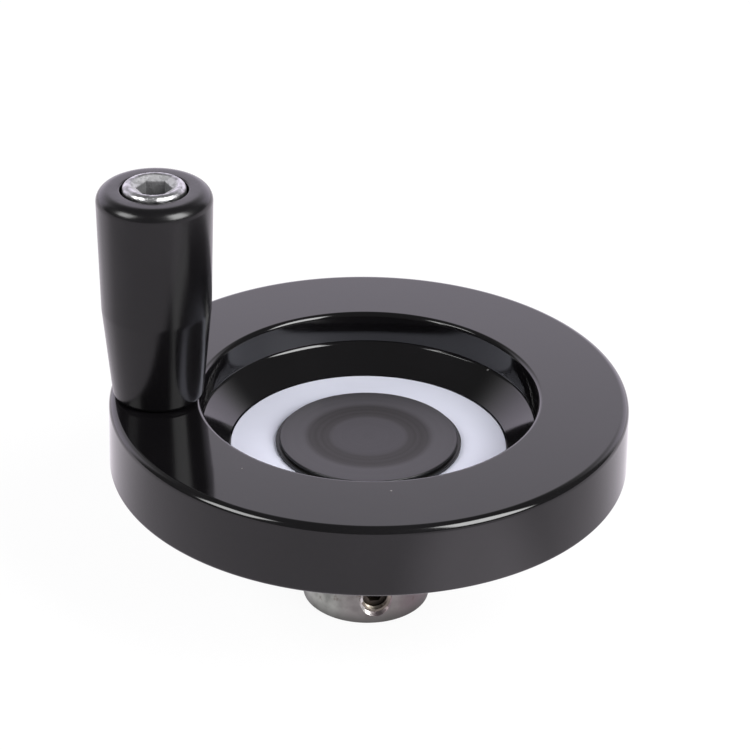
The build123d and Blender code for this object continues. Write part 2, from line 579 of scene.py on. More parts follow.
def make_radius() -> None:
    """Builds the effect that measures the distance from the Z axis, in metres."""
    group = EffectGroup(Effect.RADIUS, "Radius")
    flat = group.vector("MULTIPLY", group.given["Vector"], FLAT)
    length = group.node("VectorMath", {0: flat}, operation="LENGTH")
    group.feed(length.outputs["Value"], group.result)


def make_mottle() -> None:
    """Builds cloudy patches, from 0 to 1."""
    group = EffectGroup(Effect.MOTTLE, "Mask", Scale=100.0, Start=0.4, End=0.6)
    noise = group.node("TexNoise", group.scaled(Detail=4)).outputs[0]
    group.feed(group.ramp(noise, group.given["Start"], group.given["End"], 0, 1), group.result)


def make_dust() -> None:
    """Builds small round specks in a share of the cells of a jumbled grid."""
    smallest, core = 0.4, 0.5
    group = EffectGroup(Effect.DUST, "Mask", Scale=400.0, Share=0.05, Size=0.1)
    cells = group.node("TexVoronoi", group.scaled()).outputs
    lot = group.node("SeparateColor", {0: cells["Color"]}).outputs
    chosen = group.math("LESS_THAN", lot[0], group.given["Share"])
    width = group.math("MULTIPLY", group.given["Size"], group.math("ADD", lot[1], smallest))
    spot = group.ramp(cells["Distance"], width, group.math("MULTIPLY", width, core), 0, 1)
    group.feed(group.math("MULTIPLY", chosen, spot), group.result)


def make_hairlines() -> None:
    """Builds fine broken scratches that wander a little and run mostly along Y."""
    wander, wander_scale, stretch = 0.01, 45, (1.0, 0.16, 0.3)
    gap_scale, gap_start, gap_share, gap_edge = 140, 0.75, 0.35, 0.06
    group = EffectGroup(Effect.HAIRLINES, "Mask", Scale=60.0, Width=0.012, Share=0.5)
    given = group.given
    warp = group.node("TexNoise", group.scaled(Scale=wander_scale)).outputs["Color"]
    bent = group.vector("MULTIPLY_ADD", warp, (wander,) * 3, given["Vector"])
    drawn = group.vector("MULTIPLY", bent, stretch)
    cells = group.node("TexVoronoi", group.scaled(Vector=drawn), feature="DISTANCE_TO_EDGE")
    line = group.ramp(cells.outputs["Distance"], given["Width"], 0, 0, 1)
    gaps = group.node("TexNoise", group.scaled(Scale=gap_scale)).outputs[0]
    edge = group.math("SUBTRACT", gap_start, group.math("MULTIPLY", given["Share"], gap_share))
    kept = group.ramp(gaps, edge, group.math("ADD", edge, gap_edge), 0, 1)
    group.feed(group.math("MULTIPLY", line, kept), group.result)


def make_tool_lines() -> None:
    """Builds the uneven fine ridges of a turned face, along a distance in metres."""
    group = EffectGroup(Effect.TOOL_LINES, "Height", Along=0.0, Lines=2000.0, Detail=2.0)
    place = group.math("MULTIPLY", group.given["Along"], group.given["Lines"])
    terms = {"W": place, "Scale": 1, "Detail": group.given["Detail"]}
    group.feed(group.node("TexNoise", terms, noise_dimensions="1D").outputs[0], group.result)


MAKERS = {
    Effect.RADIUS: make_radius,
    Effect.MOTTLE: make_mottle,
    Effect.DUST: make_dust,
    Effect.HAIRLINES: make_hairlines,
    Effect.TOOL_LINES: make_tool_lines,
}


class Surface(Graph):
    """A material under construction, with its Principled shader and coordinates."""

    def __init__(self, name: str, centre: Place = (0, 0, 0)) -> None:
        """Starts a material.

        Args:
            name: The material's name.
            centre: The point that its patterns are centred on, in millimetres.
        """
        self.material = bpy.data.materials.new(name)
        self.material.use_nodes = True
        super().__init__(self.material.node_tree)
        self.shader = self.tree.nodes["Principled BSDF"]
        whole = self.node("TexCoord").outputs["Object"]
        middle = tuple(-MM * part for part in centre)
        self.place = self.node("Mapping", {"Vector": whole, "Location": middle}).outputs[0]

    def effect(self, effect: Effect, **inputs: object) -> Socket:
        """Places a shared effect, whose group is built when it is first asked for.

        Args:
            effect: Which effect.
            inputs: Its named inputs. It follows the surface's place unless Vector is given.

        Returns:
            Its output.
        """
        if effect.value not in bpy.data.node_groups:
            MAKERS[effect]()
        group = bpy.data.node_groups[effect.value]
        made = self.node("Group", node_tree=group)
        for name, term in {"Vector": self.place, **inputs}.items():
            self.feed(term, made.inputs[name])
        return made.outputs[0]

    def mottle(self, scale: float, start: float, end: float, **inputs: object) -> Socket:
        """Places cloudy patches, whose noise counts from start to end."""
        return self.effect(Effect.MOTTLE, Scale=scale, Start=start, End=end, **inputs)

    def radius(self) -> Socket:
        """Gives the distance from the pattern's upright axis, in metres."""
        return self.effect(Effect.RADIUS)

    def bump(self, *reliefs: tuple[Socket, float]) -> Socket:
        """Lays reliefs over one another.

        Args:
            reliefs: Each a height from 0 to 1 and its depth in millimetres.

        Returns:
            The normal.
        """
        below = {}
        for height, depth in reliefs:
            terms = {"Height": height, "Distance": depth * MM, **below}
            below = {"Normal": self.node("Bump", terms).outputs[0]}
        return below["Normal"]


@dataclass(frozen=True, kw_only=True)
class Finish:
    """What all finishes share.

    Attributes:
        name: The material's name.
        centre: The point that its patterns are centred on, in millimetres.
    """

    name: str
    centre: Place = (0, 0, 0)

    def paint(self, surface: Surface) -> Inputs:
        """Builds the patterns on a surface, and gives what feeds its shader."""
        raise NotImplementedError

    def material(self) -> Material:
        """Builds the material.

        Returns:
            The material.
        """
        surface = Surface(self.name, self.centre)
        for socket, term in self.paint(surface).items():
            surface.feed(term, surface.shader.inputs[socket])
        return surface.material


@dataclass(frozen=True, kw_only=True)
class GlossyMoulding(Finish):
    """Black moulded phenolic: a mirror-like skin with faint flow, smudges, hairlines and dust.

    Attributes:
        colour: The body colour.
        roughness: Roughness of the clean skin.
        smudge: How much rougher a smudge is.
        scratch: How much rougher a hairline is.
        speck: How much rougher a speck of dust is.
        speck_colour: The specks' colour.
        dust: Share of places with a speck.
        gloss: The skin's index of refraction.
        grain: How fast the flow marks change along each axis.
        waviness: How deep the flow marks are, in millimetres.
    """

    colour: Colour = (0.0034, 0.0031, 0.0036)
    roughness: float = 0.07
    smudge: float = 0.05
    scratch: float = 0.12
    speck: float = 0.6
    speck_colour: Colour = (0.16, 0.155, 0.15)
    dust: float = 0.035
    gloss: float = 1.5
    grain: Place = (1, 1, 1)
    waviness: float = 0.0012

    def paint(self, surface: Surface) -> Inputs:
        """Builds the patterns.

        Args:
            surface: The material under construction.

        Returns:
            What feeds the shader's inputs, by their names.
        """
        smudges = surface.mottle(scale=38.0, start=0.45, end=0.72)
        scratches = surface.effect(Effect.HAIRLINES, Scale=75.0, Width=0.006, Share=0.35)
        specks = surface.effect(Effect.DUST, Scale=330.0, Share=self.dust, Size=0.07)
        along = surface.vector("MULTIPLY", surface.place, self.grain)
        flow = surface.mottle(scale=260.0, start=0.2, end=0.8, Vector=along)
        return {
            "Base Color": surface.layers(
                self.colour, (smudges, shade(self.colour, 1.5)), (specks, self.speck_colour)
            ),
            "Roughness": surface.total(
                self.roughness, (smudges, self.smudge), (scratches, self.scratch), (specks, self.speck)
            ),
            "Normal": surface.bump((flow, self.waviness), (specks, 0.02)),
            "IOR": self.gloss,
        }


@dataclass(frozen=True, kw_only=True)
class SatinCap(Finish):
    """Black plastic cap: a satin face with a duller track and fine turned lines, with painted shade in
    the track and on the side and a lighter painted band outside the track.

    Attributes:
        inner: Radius where the track starts, in millimetres.
        outer: Radius where it ends, in millimetres.
        rim: Radius of the cap's side, in millimetres.
        rim_width: How far in from there it is darkened as painted shade, in millimetres.
        colour: The middle's colour.
        edge: The colour outside the track, a painted lighter band.
        track_shade: The track's colour, a painted shade darker than the middle.
        side: The side's colour, a painted shade darker than the face.
        speck_colour: The specks' colour.
        face: Roughness of the face.
        track: Roughness of the track.
        softness: Half the width of the track's soft borders, in millimetres.
        unevenness: How far the roughness varies from line to line.
        gloss: The plastic's index of refraction.
    """

    inner: float
    outer: float
    rim: float
    rim_width: float = 0.25
    colour: Colour = (0.018, 0.0165, 0.020)
    edge: Colour = (0.034, 0.032, 0.037)
    track_shade: Colour = (0.010, 0.0085, 0.0085)
    side: Colour = (0.003, 0.003, 0.003)
    speck_colour: Colour = (0.35, 0.34, 0.34)
    face: float = 0.34
    track: float = 0.42
    softness: float = 1.0
    unevenness: float = 0.12
    gloss: float = 1.44

    def paint(self, surface: Surface) -> Inputs:
        """Builds the patterns.

        Args:
            surface: The material under construction.

        Returns:
            What feeds the shader's inputs, by their names.
        """
        radius = surface.radius()
        inner, outer, rim = (distance * MM for distance in (self.inner, self.outer, self.rim))
        soft = self.softness * MM
        inside = surface.ramp(radius, inner - soft, inner + soft, 0, 1)
        outside = surface.ramp(radius, outer - soft, outer + soft, 1, 0)
        track = surface.math("MULTIPLY", inside, outside)
        # painted shade on the cap's side and outer edge
        side = surface.ramp(radius, rim - self.rim_width * MM, rim, 0, 1)
        specks = surface.effect(Effect.DUST, Scale=420.0, Share=0.02, Size=0.07)
        lines = surface.effect(Effect.TOOL_LINES, Along=radius, Lines=1500.0, Detail=3.0)
        grain = surface.mottle(scale=3500.0, start=0.2, end=0.8)
        satin = surface.ramp(track, 0, 1, self.face, self.track)
        uneven = surface.math("SUBTRACT", lines, 0.5)
        return {
            # painted shade in the track and a lighter painted band outside it stand in for the face's
            # reflection
            "Base Color": surface.layers(
                self.colour,
                (inside, self.edge),
                (track, self.track_shade),
                (side, self.side),
                (specks, self.speck_colour),
            ),
            "Roughness": surface.total(satin, (uneven, self.unevenness)),
            "Normal": surface.bump((lines, 0.004), (grain, 0.002)),
            "IOR": self.gloss,
        }


@dataclass(frozen=True, kw_only=True)
class MattRing(Finish):
    """Pale matt anodised dial ring, with a fine blasted grain.

    Attributes:
        colour: The face's colour.
        roughness: Its roughness.
    """

    colour: Colour = (0.785, 0.80, 0.92)
    roughness: float = 0.55

    def paint(self, surface: Surface) -> Inputs:
        """Builds the patterns.

        Args:
            surface: The material under construction.

        Returns:
            What feeds the shader's inputs, by their names.
        """
        clouds = surface.mottle(scale=60.0, start=0.3, end=0.7)
        grain = surface.mottle(scale=5200.0, start=0.25, end=0.75)
        return {
            "Base Color": surface.layers(shade(self.colour, 0.965), (clouds, self.colour)),
            "Roughness": surface.total(self.roughness, (grain, 0.08)),
            "Normal": surface.bump((grain, 0.004)),
            "Metallic": 0.1,
        }


@dataclass(frozen=True, kw_only=True)
class ForgedPlate(Finish):
    """Zinc plate over a forged head: bright, faintly dimpled, with patches of dirt, and painted shade
    down in the socket.

    Attributes:
        funnel: Radius of the funnel round the socket, in millimetres.
        funnel_edge: Width of the funnel's soft border, in millimetres.
        funnel_floor: Height of the funnel's floor over the centre, in millimetres.
        socket_shade_edge: Depth of the soft border of the painted shade in the socket, in millimetres.
        colour: The plating's colour.
        roughness: Roughness of the clean plating.
        dirt_cover: How much of the colour the dirt hides, from 0 to 1.
    """

    funnel: float
    funnel_edge: float = 0.5
    funnel_floor: float
    socket_shade_edge: float = 0.4
    colour: Colour = (0.50, 0.50, 0.51)
    roughness: float = 0.28
    dirt_cover: float = 0.8

    def paint(self, surface: Surface) -> Inputs:
        """Builds the patterns.

        Args:
            surface: The material under construction.

        Returns:
            What feeds the shader's inputs, by their names.
        """
        dents = surface.mottle(scale=620.0, start=0.3, end=0.75)
        pits = surface.mottle(scale=2600.0, start=0.52, end=0.7)
        dirt = surface.mottle(scale=900.0, start=0.46, end=0.62)
        inside = surface.ramp(
            surface.radius(), self.funnel * MM, (self.funnel - self.funnel_edge) * MM, 0, 1
        )
        up = surface.coordinate(Axis.Z, surface.place)
        floor = self.funnel_floor * MM
        # painted shade: the socket below the funnel's floor is darkened
        deep = surface.ramp(up, floor, floor - self.socket_shade_edge * MM, 0, 1)
        deep = surface.math("MULTIPLY", deep, inside)
        grime = surface.math("MULTIPLY", dirt, self.dirt_cover)
        return {
            "Base Color": surface.layers(
                self.colour, (grime, shade(self.colour, 0.62)), (deep, shade(self.colour, 0.4))
            ),
            "Roughness": surface.total(self.roughness, (dirt, 0.16), (pits, 0.1), (inside, 0.25)),
            "Normal": surface.bump((dents, 0.08), (pits, 0.018)),
            "Metallic": surface.ramp(inside, 0, 1, 1, 0.6),
        }


@dataclass(frozen=True, kw_only=True)
class TurnedMetal(Finish):
    """Dull turned metal with tool lines, patches and a few stains, and painted shade towards +X and at
    its foot.

    Attributes:
        colour: The metal's colour.
        roughness: Its roughness.
        stain: The stains' colour.
        stained: Share of the surface that is stained, from 0 to 1.
        shade_steps: Steps of painted shade towards +X, each the millimetres where it
            starts and ends and how much it adds, from 0 to 1.
        shade_tint: The painted shade's colour, as shares of the metal's red.
        grime: How far up from its foot it is darkened as painted shade, in millimetres.
        foot_shade_cover: How much of the colour that painted shade hides at the foot, from 0 to 1.
        lines: Tool lines in a metre.
    """

    colour: Colour = (0.46, 0.485, 0.435)
    roughness: float = 0.34
    stain: Colour = (0.12, 0.065, 0.045)
    stained: float = 0.5
    shade_steps: tuple[tuple[float, float, float], ...] = ()
    shade_tint: Colour = (0.42, 0.35, 0.36)
    grime: float = 0.01
    foot_shade_cover: float = 0.75
    lines: float = 2600.0

    def paint(self, surface: Surface) -> Inputs:
        """Builds the patterns.

        Args:
            surface: The material under construction.

        Returns:
            What feeds the shader's inputs, by their names.
        """
        across, up = (surface.coordinate(axis, surface.place) for axis in (Axis.X, Axis.Z))
        turned = surface.effect(Effect.TOOL_LINES, Along=up, Lines=self.lines, Detail=3.0)
        patches = surface.mottle(scale=210.0, start=0.38, end=0.66)
        # painted shade: the side towards +X is darkened and tinted pink
        side = 0.0
        for start, end, share in self.shade_steps:
            side = surface.math("ADD", surface.ramp(across, start * MM, end * MM, 0, share), side)
        # painted shade: the foot darkens towards the floor, standing in for its contact shadow
        low = surface.ramp(up, 0, self.grime * MM, self.foot_shade_cover, 0)
        spots = surface.mottle(scale=520.0, start=0.62, end=0.74)
        stains = surface.math("MULTIPLY", spots, self.stained)
        return {
            "Base Color": surface.layers(
                self.colour,
                (patches, shade(self.colour, 0.6)),
                (side, shade(self.shade_tint, self.colour[0])),
                (low, shade(self.colour, 0.2)),
                (stains, self.stain),
            ),
            "Roughness": surface.total(self.roughness, (patches, 0.12), (stains, 0.3)),
            "Normal": surface.bump((turned, 0.012)),
            "Metallic": surface.ramp(stains, 0, 1, 1, 0.4),
        }


# --- The handwheel --------------------------------------------------------------


def coat(piece: Piece, *finishes: Finish) -> None:
    """Gives a piece its finishes, in place of any that it has.

    Args:
        piece: The piece.
        finishes: Its finishes, the first of which all its faces have.
    """
    piece.data.materials.clear()
    for finish in finishes:
        piece.data.materials.append(finish.material())


def settle(piece: Piece, slot: Slot, node: str, *finishes: Finish, body: Body = Body.WHEEL) -> None:
    """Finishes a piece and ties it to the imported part.

    Args:
        piece: The piece.
        slot: The record's slot for the piece. It is not used.
        node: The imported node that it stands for.
        finishes: Its finishes, the first of which all its faces have.
        body: The body that it moves with.
    """
    smooth(piece)
    coat(piece, *finishes)
    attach(piece, body.value)
    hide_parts(node)
    log.info("%s: %d faces on %s", piece.name, len(piece.data.polygons), body.value)


@dataclass
class Hub:
    """The steel hub with its tapped cross hole, and the set screw in it."""

    bore: float = 10.0
    chamfer: float = 0.6
    foot_chamfer: float = 0.2
    groove_depth: float = 1.0
    groove_foot: float = 18.5
    groove_width: float = 3.5
    flat_depth: float = 1.0
    flat_start: float = 16.0
    countersink: float = 7.3
    thread: Thread = Thread(major=6.0, pitch=1.0)
    thread_play: float = 0.06
    screw_height: float = 5.3
    screw_turn: float = 7.5
    screw_outer_end: float = 10.2
    screw_length: float = 5.0
    screw_chamfer: float = 0.6
    screw_socket: float = 3.0
    screw_socket_depth: float = 2.4
    cup_diameter: float = 3.0  # of the hollow in the end that bites the shaft
    cup_floor_diameter: float = 1.2
    cup_depth: float = 0.9
    side_margin: float = 0.03  # faces nearer to the hub's side than this belong to it
    cone_margin: float = 0.12  # faces nearer to the countersink's cone than this belong to it

    def __post_init__(self) -> None:
        """Reads the hub's own extent."""
        extent = Extent.of("hub_insert")
        self.radius = extent.radius
        self.top = extent.high.z

    def blank(self) -> Piece:
        """Turns the hub without its cross hole.

        Returns:
            The hub.
        """
        inner, edge = self.bore / 2, self.chamfer
        groove_top = self.groove_foot + self.groove_width
        piece = Lathe(steps=192).turn(
            "steel_hub",
            Corner(inner, edge),
            Corner(inner + edge, 0),
            Corner(self.radius - self.foot_chamfer, 0),
            Corner(self.radius, self.foot_chamfer),
            Corner(self.radius, self.groove_foot),
            Corner(self.radius - self.groove_depth, self.groove_foot),
            Corner(self.radius - self.groove_depth, groove_top),
            Corner(self.radius, groove_top),
            Corner(self.radius, self.top - edge),
            Corner(self.radius - edge, self.top),
            Corner(inner + edge, self.top),
            Corner(inner, self.top - edge),
        )
        length = self.top - self.flat_start
        for side in (-1, 1):
            place = (side * (1.5 * self.radius - self.flat_depth), 0, self.flat_start + length)
            cut(piece, block("flat_cutter", (self.radius, 3 * self.radius, 2 * length), place))
        return piece

    def lay_across(self, piece: Piece) -> Piece:
        """Lays an upright shape along the cross hole's axis, with its foot on the shaft axis.

        Args:
            piece: The shape.

        Returns:
            The same shape.
        """
        swing(piece, 90, Axis.X)
        swing(piece, self.screw_turn, Axis.Z)
        shift(piece, z=self.screw_height)
        return piece

    def drilled(self) -> Piece:
        """Makes the hub with its tapped and countersunk cross hole.

        Returns:
            The hub.
        """
        piece = self.blank()
        tap = self.thread.rod("tap")
        depth = (self.countersink - self.thread.major) / 2
        flare = Lathe(steps=96).turn(
            "countersink",
            Corner(0, self.radius - depth),
            Corner(self.thread.major / 2, self.radius - depth),
            Corner(self.countersink / 2 + depth, self.radius + depth),
            Corner(0, self.radius + depth),
        )
        cut(piece, self.lay_across(tap), self.lay_across(flare))
        return piece

    def set_screw(self) -> Piece:
        """Makes the socket set screw with its thread.

        Returns:
            The screw, in the cross hole.
        """
        narrow = Thread(self.thread.major - self.thread_play, self.thread.pitch)
        piece = narrow.rod("socket_set_screw")
        outer_end = self.screw_outer_end
        inner_end = outer_end - self.screw_length
        radius, edge = self.thread.major / 2, self.screw_chamfer
        blank = Lathe(steps=96).turn(
            "screw_blank",
            Corner(0, inner_end + self.cup_depth),
            Corner(self.cup_floor_diameter / 2, inner_end + self.cup_depth),
            Corner(self.cup_diameter / 2, inner_end),
            Corner(radius - edge, inner_end),
            Corner(radius, inner_end + edge),
            Corner(radius, outer_end - edge / 2),
            Corner(radius - edge / 2, outer_end),
            Corner(0, outer_end),
        )
        cut(piece, blank, keep=Keep.INSIDE)
        key = hexagon("key", self.screw_socket, 2 * self.screw_socket_depth)
        shift(key, z=outer_end - self.screw_socket_depth)
        cut(piece, key)
        return self.lay_across(piece)

    def dress_hole(self, hub: Piece) -> None:
        """Gives the cross hole's faces the hub's second and third finishes.

        Args:
            hub: The hub, whose second finish is the countersink's and third the thread's.
        """
        flare, thread = 1, 2
        turn = math.radians(self.screw_turn)
        way = Vector((math.sin(turn), -math.cos(turn), 0))
        for face in hub.data.polygons:
            out = face.center / MM - Vector((0, 0, self.screw_height))
            along = out.dot(way)
            aside = (out - way * along).length
            on_side = out.xy.length > self.radius - self.side_margin
            if along < self.bore / 2 or aside > self.countersink / 2 or on_side:
                continue
            cone = self.countersink / 2 - (self.radius - along)
            face.material_index = flare if abs(aside - cone) < self.cone_margin else thread

    def build(self) -> None:
        """Builds and dresses the hub and its screw."""
        # painted shade on the hub: darker towards +X, and for 3 mm up from its foot
        steel = TurnedMetal(name="dull_turned_steel", shade_steps=((-8, -3, 0.55), (4, 9, 0.4)), grime=3.0)
        # the countersink's pale colour is partly bright cut metal and partly a painted highlight for the
        # lamp's reflection on its left; its right side is darkened as painted shade
        bright = TurnedMetal(
            name="countersink_with_painted_highlight",
            colour=(0.85, 0.84, 0.81),
            roughness=0.25,
            shade_steps=((-0.5, 1.8, 1.0),),
        )
        oily = TurnedMetal(name="oily_thread", colour=(0.36, 0.32, 0.27), roughness=0.3)
        black = TurnedMetal(
            name="worn_black_oxide",
            colour=(0.19, 0.165, 0.14),
            roughness=0.4,
            stain=(0.05, 0.035, 0.025),
        )
        hub = self.drilled()
        settle(hub, Slot.HUB, "hub_insert", steel, bright, oily)
        self.dress_hole(hub)
        settle(self.set_screw(), Slot.DARK, "set_screw", black)


@dataclass
class Wheel:
    """The moulded wheel round the hub and the handle's bush."""

    diameter: float = 100.0
    rim_height: float = 14.25
    rim_width: float = 17.4
    rim_draft: float = 0.2
    front_rounding: float = 1.45
    foot_rounding: float = 0.8
    lip_rounding: float = 0.9
    dish_depth: float = 6.5
    dish_lean: float = 0.1
    crease_rounding: float = 1.0
    cone_drop: float = 4.52
    web_thickness: float = 5.7
    web_flat_diameter: float = 58.0
    foot_width: float = 14.5
    foot_inner_rounding: float = 2.0
    web_rounding: float = 4.0
    boss_root_diameter: float = 38.4
    boss_end_diameter: float = 35.6
    boss_root_rounding: float = 3.0
    boss_end_rounding: float = 1.2
    pocket_diameter: float = 27.8
    ring_gap: float = 0.25
    core_radius: float = 8.0  # inside the hub, whose shape is cut from the moulding
    bush_groove_depth: float = 0.8
    bush_groove_width: float = 3.0

    def skin(self) -> Piece:
        """Turns the moulding, before the hub and the bush are cut from it.

        Returns:
            The moulding.
        """
        wheel, ring = Extent.of("wheel_body"), Extent.of("dial_ring")
        radius, top = self.diameter / 2, wheel.high.z
        pocket_floor = Extent.of("hub_insert").high.z
        lip = radius - self.rim_width
        crease = top - self.dish_depth
        recess = ring.radius + self.ring_gap
        foot = top - self.rim_height
        rear = ring.low.z - self.web_thickness
        return Lathe(steps=360).turn(
            "wheel_moulding",
            Corner(self.core_radius, pocket_floor),
            Corner(self.pocket_diameter / 2, pocket_floor),
            Corner(self.pocket_diameter / 2, ring.low.z),
            Corner(recess, ring.low.z),
            Corner(recess, crease - self.cone_drop),
            Corner(lip - self.dish_lean, crease, self.crease_rounding),
            Corner(lip, top, self.lip_rounding),
            Corner(radius, top, self.front_rounding),
            Corner(radius + self.rim_draft, foot, self.foot_rounding),
            Corner(radius - self.foot_width, foot, self.foot_inner_rounding),
            Corner(self.web_flat_diameter / 2, rear, self.web_rounding),
            Corner(self.boss_root_diameter / 2, rear, self.boss_root_rounding),
            Corner(self.boss_end_diameter / 2, wheel.low.z, self.boss_end_rounding),
            Corner(self.core_radius, wheel.low.z),
        )

    def bush_blank(self) -> Piece:
        """Turns the outer shape of the bush, to cut its seat.

        Returns:
            The shape.
        """
        bush = Extent.of("handle_bush")
        middle = (bush.low.z + bush.high.z) / 2
        half_groove = self.bush_groove_width / 2
        waist = bush.radius - self.bush_groove_depth
        return Lathe(axis_x=bush.axis_x, steps=96).turn(
            "bush_blank",
            Corner(0, bush.low.z),
            Corner(bush.radius, bush.low.z),
            Corner(bush.radius, middle - half_groove),
            Corner(waist, middle - half_groove),
            Corner(waist, middle + half_groove),
            Corner(bush.radius, middle + half_groove),
            Corner(bush.radius, bush.high.z),
            Corner(0, bush.high.z),
        )

    def build(self, hub_blank: Piece) -> None:
        """Builds and dresses the moulding.

        Args:
            hub_blank: The hub without its cross hole, which is used up.
        """
        piece = self.skin()
        cut(piece, hub_blank, self.bush_blank())
        settle(piece, Slot.PHENOLIC, "wheel_body", GlossyMoulding(name="black_phenolic"))


@dataclass
class Dial:
    """The pale ring in the dish, and the cap over the end of the shaft."""

    ring_bore: float = 30.0
    ring_rounding: float = 0.15
    flange_thickness: float = 0.75
    flange_rounding: float = 0.15
    top_diameter: float = 34.7
    top_rounding: float = 0.3
    spigot_diameter: float = 27.74
    spigot_wall: float = 1.6
    slit_width: float = 1.6
    slits: int = 4
    track_outer_diameter: float = 24.2
    track_inner_diameter: float = 14.7
    track_depth: float = 0.03
    track_slope: float = 2.0  # width of the slope down into the track
    track_rounding: float = 9.0

    def ring(self) -> Piece:
        """Turns the dial ring.

        Returns:
            The ring.
        """
        extent = Extent.of("dial_ring")
        return Lathe().turn(
            "dial_ring_plate",
            Corner(self.ring_bore / 2, extent.low.z),
            Corner(extent.radius, extent.low.z),
            Corner(extent.radius, extent.high.z, self.ring_rounding),
            Corner(self.ring_bore / 2, extent.high.z),
        )

    def cap(self) -> Piece:
        """Turns the cap and cuts the slits that let its spigot spring.

        Returns:
            The cap.
        """
        extent = Extent.of("centre_cap")
        ring_face = Extent.of("dial_ring").high.z
        spigot, wall = self.spigot_diameter / 2, self.spigot_wall
        flange_top = ring_face + self.flange_thickness
        face = extent.high.z
        track = face - self.track_depth
        outer, inner = self.track_outer_diameter / 2, self.track_inner_diameter / 2
        half_slope = self.track_slope / 2
        piece = Lathe().turn(
            "shaft_end_cap",
            Corner(0, ring_face),
            Corner(spigot - wall, ring_face),
            Corner(spigot - wall, extent.low.z),
            Corner(spigot, extent.low.z),
            Corner(spigot, ring_face),
            Corner(extent.radius, ring_face),
            Corner(extent.radius, flange_top, self.flange_rounding),
            Corner(self.top_diameter / 2, flange_top),
            Corner(self.top_diameter / 2, face, self.top_rounding),
            Corner(outer + half_slope, face, self.track_rounding),
            Corner(outer - half_slope, track, self.track_rounding),
            Corner(inner + half_slope, track, self.track_rounding),
            Corner(inner - half_slope, face, self.track_rounding),
            Corner(0, face),
        )
        height = ring_face - extent.low.z
        for slit in range(self.slits):
            size = (2 * wall, self.slit_width, 2 * height)
            cutter = block("slit_cutter", size, (spigot - wall / 2, 0, ring_face - height))
            swing(cutter, slit * 360 / self.slits, Axis.Z)
            cut(piece, cutter)
        return piece

    def build(self) -> None:
        """Builds and dresses the ring and the cap."""
        settle(self.ring(), Slot.RING, "dial_ring", MattRing(name="pale_matt_ring"))
        satin = SatinCap(
            name="satin_cap",
            inner=self.track_inner_diameter / 2,
            outer=self.track_outer_diameter / 2,
            rim=self.top_diameter / 2,
        )
        settle(self.cap(), Slot.CAP, "centre_cap", satin)


